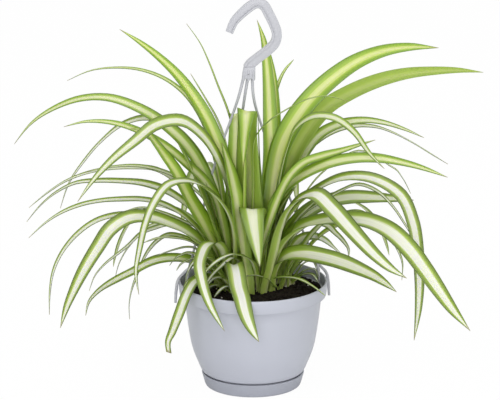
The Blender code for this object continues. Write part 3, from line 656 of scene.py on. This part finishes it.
def grow_blade(name, stations, replaced, age, base_width=1.0, curl=1.0):
    """Lays a fine sheet over the stations, thickens it and gives it its stripes."""
    ribs, halves, folds = stations
    under = ribs[0] + (ribs[0] - ribs[1]).normalized() * ROOT_LENGTH
    under.z = min(under.z, ROOT_HEIGHT)
    ribs = [under] + ribs
    halves = [halves[0] * 0.85] + halves
    folds = [folds[0] * 0.85] + folds
    luck = random.Random(name)
    seed = luck.random()
    shape = bmesh.new()
    bmesh.ops.create_grid(shape, x_segments=ROWS_ACROSS, y_segments=ROWS_ALONG, size=1.0)
    sheet_map = shape.loops.layers.uv.new("UVMap")
    for face in shape.faces:
        for loop in face.loops:
            loop[sheet_map].uv = ((loop.vert.co.x + 1) / 2, (loop.vert.co.y + 1) / 2)
    for vert in shape.verts:
        t, share = vert.co.x, (vert.co.y + 1) / 2
        half, fold = between(halves, share), between(folds, share)
        widen = 1 + (base_width - 1) * max(0.0, 1 - share / 0.34) ** 1.3
        rise = (math.sqrt(t * t + 0.03) - 0.1732) / 0.8417
        ripple = noise.noise(Vector((seed * 50, share * 7, t * 0.8))) * abs(t) * 1.1 * MM * curl
        ripple *= min(1.0, half.length / 0.004)
        lift = fold.normalized() if fold.length > 0 else Vector((0, 0, 1))
        vert.co = between(ribs, share) + half * t * widen + fold * rise * widen + lift * ripple
    shape.normal_update()
    middle = [f for f in shape.faces if f.is_valid][len(shape.faces) // 3]
    if middle.normal.dot(between(folds, 0.3)) < 0:
        bmesh.ops.reverse_faces(shape, faces=shape.faces)
    piece = settle(shape, name, [leaf_face, leaf_back], replaced)
    for key, value in (("age", age), ("seed", seed)):
        layer = piece.data.attributes.new(key, "FLOAT", "POINT")
        layer.data.foreach_set("value", [value] * len(piece.data.vertices))
    thick = piece.modifiers.new("thickness", "SOLIDIFY")
    thick.thickness = BLADE_THICKNESS
    thick.offset = -1.0
    thick.material_offset = 1
    thick.material_offset_rim = 0
    return piece


# How broad a blade is drawn beside its slimmer CAD sheet, near the base and near the tip.
BROADER = {"leaf_top_5": (1.7, 1.6), "leaf_top_6": (1.5, 1.3), "leaf_left_1": (1.3, 1.2),
           "leaf_front_fold": (1.6, 1.6), "leaf_left_3": (1.1, 1.3), "leaf_top_3": (1.1, 1.3),
           "leaf_top_11": (1.2, 1.2), "leaf_left_8": (1.0, 1.3), "leaf_right_1": (0.9, 1.7),
           "leaf_right_2": (0.9, 1.6), "leaf_right_3": (0.9, 2.4), "leaf_left_6": (0.9, 1.4),
           "leaf_front_1": (0.95, 1.5), "leaf_right_9": (1.0, 1.3), "leaf_right_10": (1.0, 1.5),
           "leaf_right_4": (1.0, 1.7), "leaf_right_5": (1.1, 1.4), "leaf_right_6": (1.2, 1.5),
           "leaf_top_4": (1.0, 1.5), "leaf_left_12": (1.0, 1.5), "leaf_right_12": (1.0, 1.5),
           "leaf_right_13": (1.0, 1.5), "leaf_front_2": (1.0, 1.3), "leaf_front_3": (1.0, 1.3)}
# Age is 0 in a young leaf and 1 in an old one; old leaves droop, so the tip's height gives it.
YOUNG_TIP, TIP_RANGE = 0.34, 0.17
AGES = {"leaf_right_5": 0.25, "leaf_right_6": 0.15, "leaf_left_3": 0.1, "leaf_left_2": 0.35,
        "leaf_left_4": 0.2, "leaf_top_5": 0.1, "leaf_front_fold": 0.6, "leaf_top_6": 0.2,
        "leaf_top_11": 0.0, "leaf_top_4": 0.0}
for node_name in sorted(nodes):
    if node_name.startswith("leaf_"):
        stations = cad_stations(nodes[node_name])
        near, far = BROADER.get(node_name, (1.0, 1.15))
        for k, half in enumerate(stations[1]):
            stations[1][k] = half * (near + (far - near) * (k / GAPS) ** 2)
        if node_name == "leaf_front_3":  # its tip is cut off square
            stations[1][-1] = stations[1][-2] * 0.9
        tip_height = stations[0][-1].z
        age = min(1.0, max(0.0, (YOUNG_TIP - tip_height) / TIP_RANGE))
        blade = grow_blade(node_name + "_blade", stations, [node_name],
                           AGES.get(node_name, age), base_width=2.4)
        if node_name == "leaf_top_4":
            blade.data.materials[0] = leaf_shaded


# ---------------------------------------------------------------- small leaves
# Thinner and shorter blades fill the fan between the large ones: young uprights round the
# middle, small curled ones at the soil, and the fine outer ends of leaves behind.

# One row per leaf: name, width, turn to the front, lateness of taper, age, and midrib points.
SMALL_LEAVES = (
    ("small_left_1", 7, 10, 3.0, 0.9, ((-26, 2, 104), (-38, -1, 128), (-60, -7, 150),
                                       (-88, -14, 158), (-110, -20, 154))),
    ("small_left_2", 8, 12, 3.0, 0.9, ((-24, 10, 104), (-42, 14, 150), (-63, 14, 163),
                                       (-105, 10, 181), (-128, 8, 179))),
    ("small_left_3", 5, 10, 3.0, 0.9, ((-26, 2, 104), (-46, 4, 130), (-62, 4, 142), (-84, 4, 138),
                                       (-98, 2, 133))),
    ("small_front_1", 6, 10, 3.0, 0.6, ((24, -2, 102), (20, -10, 106), (15, -13, 114),
                                        (1, -16, 119), (-11, -18, 117))),
    ("small_front_2", 5, 10, 3.0, 0.5, ((18, -2, 104), (22, -8, 113), (34, -17, 117),
                                        (47, -27, 118), (60, -38, 114), (72, -46, 107))),
    ("small_top_1", 5, 20, 3.0, 0.2, ((12, 12, 104), (14, 30, 200), (18, 40, 270), (28, 49, 307),
                                      (41, 55, 324))),
    ("small_right_1", 3, 15, 4.0, 0.8, ((26, 14, 104), (50, 20, 190), (101, 24, 236),
                                        (138, 26, 221), (150, 26, 209), (159, 26, 192))),
    ("small_right_2", 6, 15, 3.0, 0.9, ((36, 22, 104), (60, 26, 152), (98, 22, 174),
                                        (119, 18, 171), (131, 14, 167))),
    ("small_right_3", 9, 15, 3.0, 0.9, ((34, 20, 104), (70, 22, 150), (110, 20, 165),
                                        (135, 25, 150), (150, 28, 122), (151, 28, 100))),
    ("small_core_1", 26, 0, 4.5, 0.2, ((-6, -17, 102), (-10, -17, 134), (-13, -17, 157),
                                       (-15, -17, 176), (-17, -16, 194), (-20, -13, 212),
                                       (-25, -6, 232), (-31, 0, 252))),
    ("small_core_2", 8, 0, 2.6, 0.0, ((-6, -10, 102), (-9, -12, 150), (-9, -12, 196),
                                      (-8, -12, 238), (-7, -12, 274))),
    ("small_core_3", 8, 0, 3.0, 0.1, ((9, 0, 102), (8, 0, 200), (6, 0, 241), (5, 0, 282))),
    ("small_core_4", 18, 6, 3.6, 0.6, ((9, -6, 100), (13, -6, 130), (17, -6, 151), (23, -6, 172),
                                       (30, -6, 189), (43, -6, 209))),
    ("small_core_5", 18, 10, 3.6, 0.6, ((17, -2, 100), (23, -2, 126), (31, -2, 149),
                                        (46, -2, 175), (65, -2, 194))),
    ("small_core_6", 16, 12, 3.4, 0.7, ((30, 4, 100), (39, 4, 124), (49, 4, 140), (62, 4, 159),
                                        (80, 4, 177))),
    ("small_core_7", 24, 6, 3.6, 0.1, ((-25, 0, 100), (-31, 0, 135), (-41, 0, 169), (-52, 0, 199),
                                       (-63, 0, 227), (-75, 0, 252))),
    ("small_core_8", 23, 6, 3.6, 0.15, ((-21, 6, 100), (-25, 6, 127), (-31, 6, 154), (-39, 6, 185),
                                       (-48, 6, 212))),
    ("small_core_9", 16, 0, 3.6, 0.4, ((2, 8, 100), (1, 9, 150), (0, 11, 200), (-1, 14, 236))),
    ("curl_left_1", 10, 0, 3.0, 1.0, ((-25, -10, 104), (-39, -18, 133), (-53, -20, 138),
                                     (-63, -20, 128), (-68, -20, 113))),
    ("curl_left_2", 9, 0, 3.0, 1.0, ((-23, -14, 102), (-35, -22, 124), (-47, -26, 129),
                                     (-57, -28, 122), (-62, -30, 111))),
    ("curl_left_3", 8, 0, 3.0, 1.0, ((-21, -16, 101), (-29, -28, 118), (-39, -34, 121),
                                     (-47, -38, 113), (-50, -40, 104))),
    ("curl_left_4", 8, 0, 3.0, 1.0, ((-28, 0, 102), (-42, -4, 124), (-56, -8, 134),
                                     (-70, -10, 130), (-77, -10, 122))),
    ("curl_left_5", 9, 0, 3.0, 0.9, ((-26, -8, 102), (-40, -16, 116), (-54, -24, 121),
                                     (-65, -30, 116), (-70, -32, 106))),
    ("curl_left_6", 8, 0, 3.0, 1.0, ((-24, -14, 101), (-34, -26, 111), (-44, -36, 112),
                                     (-51, -41, 104))),
    ("curl_left_7", 8, 0, 3.0, 0.8, ((-30, -2, 104), (-46, -2, 128), (-62, -4, 138),
                                     (-76, -6, 135), (-84, -6, 126))),
    ("curl_left_8", 7, 0, 3.0, 1.0, ((-20, -18, 101), (-22, -30, 111), (-30, -40, 113),
                                     (-39, -46, 105))),
    ("curl_left_9", 8, 0, 3.0, 0.7, ((-30, 6, 102), (-44, 12, 116), (-56, 16, 122), (-64, 16, 114),
                                     (-67, 16, 106))),
    ("curl_right_3", 8, 0, 3.0, 0.9, ((34, 26, 101), (44, 34, 114), (55, 38, 121), (63, 36, 116),
                                      (66, 33, 108))),
    ("curl_right_4", 7, 0, 3.0, 0.9, ((40, 14, 101), (50, 10, 111), (60, 4, 113), (66, 0, 106))),
    ("curl_right_1", 7, 0, 3.0, 1.0, ((38, 18, 101), (46, 12, 110), (53, 10, 116), (62, 10, 117),
                                      (66, 10, 108))),
    ("curl_right_2", 7, 0, 3.0, 1.0, ((40, 24, 101), (46, 22, 112), (52, 22, 120), (60, 22, 122),
                                      (65, 22, 112))),
    ("small_back_1", 13, 0, 2.6, 0.8, ((30, 22, 104), (40, 34, 140), (56, 50, 160), (88, 84, 168),
                                       (116, 114, 150), (134, 134, 118), (142, 143, 92))),
    ("small_back_2", 13, 0, 2.6, 0.8, ((-26, 14, 104), (-38, 26, 134), (-62, 44, 158),
                                       (-94, 76, 164), (-122, 104, 144), (-139, 121, 110),
                                       (-145, 128, 84))),
    ("small_rim_1", 6, 0, 3.0, 0.7, ((36, 34, 100), (46, 40, 112), (56, 40, 120), (64, 34, 116),
                                     (68, 28, 110))),
)
for name, width, turn, late, age, points in SMALL_LEAVES:
    grow_blade(name, drawn_stations(points, width, turn, late), [], age)


# ---------------------------------------------------------------- crowns
# Where the blades meet, their pale bases wrap round one another as a low sheathed knob that
# stands a little out of the soil.

crown_tissue = bpy.data.materials.new("crown_finish")
crown_tissue.use_nodes = True
crown_tree = crown_tissue.node_tree
crown_surface = crown_tree.nodes["Principled BSDF"]
crown_surface.inputs["Roughness"].default_value = 0.55
crown_where = crown_tree.nodes.new("ShaderNodeTexCoord")
crown_stretch = crown_tree.nodes.new("ShaderNodeMapping")
crown_stretch.inputs["Scale"].default_value = (520, 520, 60)
crown_lines = crown_tree.nodes.new("ShaderNodeTexNoise")
crown_lines.inputs["Scale"].default_value = 1.0
crown_tones = crown_tree.nodes.new("ShaderNodeValToRGB")
crown_tones.color_ramp.elements[0].position = 0.3
crown_tones.color_ramp.elements[0].color = (0.22, 0.22, 0.09, 1)
crown_tones.color_ramp.elements[1].position = 0.7
crown_tones.color_ramp.elements[1].color = (0.52, 0.54, 0.30, 1)
crown_tree.links.new(crown_where.outputs["Object"], crown_stretch.inputs["Vector"])
crown_tree.links.new(crown_stretch.outputs["Vector"], crown_lines.inputs["Vector"])
crown_tree.links.new(crown_lines.outputs["Fac"], crown_tones.inputs["Fac"])
crown_tree.links.new(crown_tones.outputs["Color"], crown_surface.inputs["Base Color"])
CROWN_REACH, CROWN_HEIGHT = 9.2, 7.5
for crown_name in ("crown_main", "crown_left", "crown_right"):
    low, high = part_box(crown_name)
    centre = (low + high) / 2
    knob = bmesh.new()
    bmesh.ops.create_uvsphere(knob, u_segments=36, v_segments=16, radius=1.0)
    for vert in knob.verts:
        turn = math.atan2(vert.co.y, vert.co.x)
        fluted = 1 + 0.09 * math.cos(turn * 9 + vert.co.z * 2)
        vert.co = Vector((vert.co.x * fluted * CROWN_REACH, vert.co.y * fluted * CROWN_REACH,
                          vert.co.z * CROWN_HEIGHT)) * MM
    bmesh.ops.translate(knob, verts=knob.verts, vec=(centre.x, centre.y, SOIL_LEVEL * MM))
    settle(knob, crown_name + "_sheath", [crown_tissue], [crown_name])
